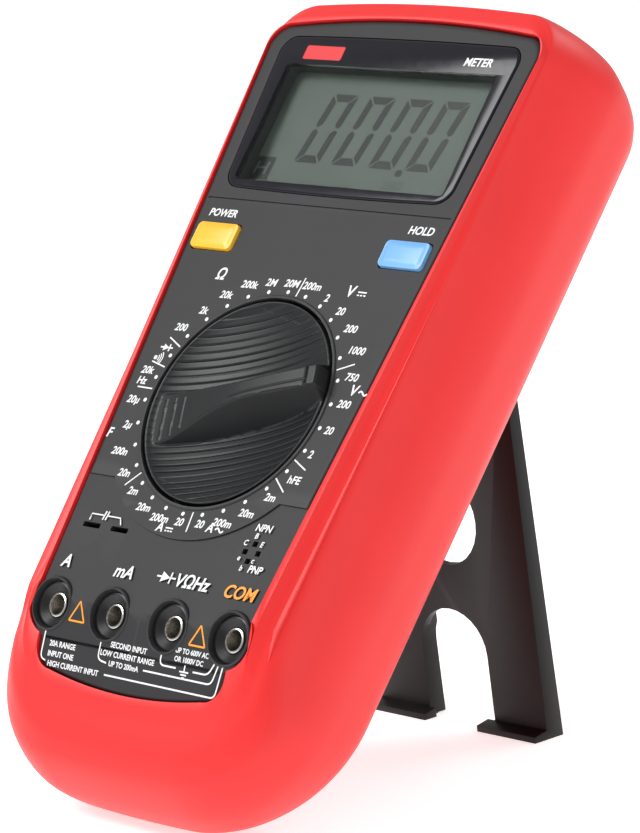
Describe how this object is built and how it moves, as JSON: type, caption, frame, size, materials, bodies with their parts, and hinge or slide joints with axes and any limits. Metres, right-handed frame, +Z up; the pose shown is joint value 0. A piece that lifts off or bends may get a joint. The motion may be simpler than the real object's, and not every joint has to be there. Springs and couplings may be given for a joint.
{
  "type": "digital multimeter",
  "caption": "Handheld digital multimeter in a thick moulded holster, leaning back on its folding rear stand, with a range knob, two press buttons and a row of test lead jacks.",
  "frame": {"origin": "on the surface that the meter stands on, under the centre of the whole object's box, stand out", "axes": "+Z up, +X to the right seen from the front, -Y towards the user; the panel leans back 38.5 degrees from the vertical, towards +Y"},
  "size_m": [0.0966, 0.1364, 0.172],
  "materials": {
    "battery_wrap": "printed steel jacket",
    "black_plastic": "satin",
    "black_wire": "insulation",
    "blue_plastic": "satin",
    "blue_resin": "moulded resin",
    "case_plastic": "fine spark texture",
    "circuit_board": "satin solder mask",
    "conductive_rubber": "matt",
    "fuse_coating": "dipped resin",
    "holster_rubber": "satin moulded rubber",
    "knob_plastic": "satin with fine ridges",
    "lcd_glass": "grey-green liquid crystal cell with its reflector",
    "lens_plastic": "polished, printed black on its back round a clear window",
    "manganin": "bare drawn wire",
    "nickel": "nickel plate",
    "red_wire": "insulation",
    "stand_plastic": "fine texture",
    "steel": "bright",
    "white_plastic": "satin",
    "yellow_plastic": "satin"
  },
  "bodies": {
    "meter": {"battery": "battery_wrap", "battery_door": "case_plastic", "battery_door_screw": "steel", "battery_lead_black": "black_wire", "battery_lead_red": "red_wire", "battery_snap": "black_plastic", "board_screw_1": "steel", "board_screw_2": "steel", "board_screw_3": "steel", "buzzer": "black_plastic", "capacitor_socket": "black_plastic", "case_screw_1": "steel", "case_screw_2": "steel", "case_screw_3": "steel", "case_screw_4": "steel", "clock_crystal": "steel", "converter_chip": "black_plastic", "current_shunt": "manganin", "display_window": "lens_plastic", "filter_capacitor": "blue_resin", "front_case": "case_plastic", "hold_switch": "black_plastic", "holster": "holster_rubber", "jack_shroud_20a": "black_plastic", "jack_shroud_common": "black_plastic", "jack_shroud_ma": "black_plastic", "jack_shroud_volt_ohm": "black_plastic", "jack_sleeve_20a": "nickel", "jack_sleeve_common": "nickel", "jack_sleeve_ma": "nickel", "jack_sleeve_volt_ohm": "nickel", "lcd_frame": "white_plastic", "lcd_glass": "lcd_glass", "main_board": "circuit_board", "power_switch": "black_plastic", "rear_case": "case_plastic", "resettable_fuse": "fuse_coating", "resistor_network": "blue_resin", "transistor_socket": "black_plastic", "trim_resistor": "blue_resin", "zebra_strip": "conductive_rubber"},
    "knob": {"detent_ball_left": "steel", "detent_ball_right": "steel", "detent_spring_left": "steel", "detent_spring_right": "steel", "range_knob": "knob_plastic", "switch_rotor": "white_plastic", "wiper_contact_1": "nickel", "wiper_contact_2": "nickel", "wiper_contact_3": "nickel"},
    "power_button": {"power_button": "yellow_plastic", "power_plunger": "white_plastic"},
    "hold_button": {"hold_button": "blue_plastic", "hold_plunger": "white_plastic"},
    "kickstand": {"kickstand": "stand_plastic"}
  },
  "joints": [
    {"name": "kickstand_hinge", "type": "hinge", "parent": "meter", "child": "kickstand", "pos_m": [0, 0.03151, 0.09894], "axis": [-1, 0, 0], "range_deg": [0, 45]},
    {"name": "range_knob_turn", "type": "hinge", "parent": "meter", "child": "knob", "pos_m": [0, -0.02476, 0.09004], "axis": [0, -0.7826, 0.6225], "continuous": true},
    {"name": "power_button_press", "type": "slide", "parent": "meter", "child": "power_button", "axis": [0, 0.7826, -0.6225], "range_m": [0, 0.0012], "stiffness_N_per_m": 300, "springref_m": -0.001},
    {"name": "hold_button_press", "type": "slide", "parent": "meter", "child": "hold_button", "axis": [0, 0.7826, -0.6225], "range_m": [0, 0.0012], "stiffness_N_per_m": 300, "springref_m": -0.001}
  ]
}
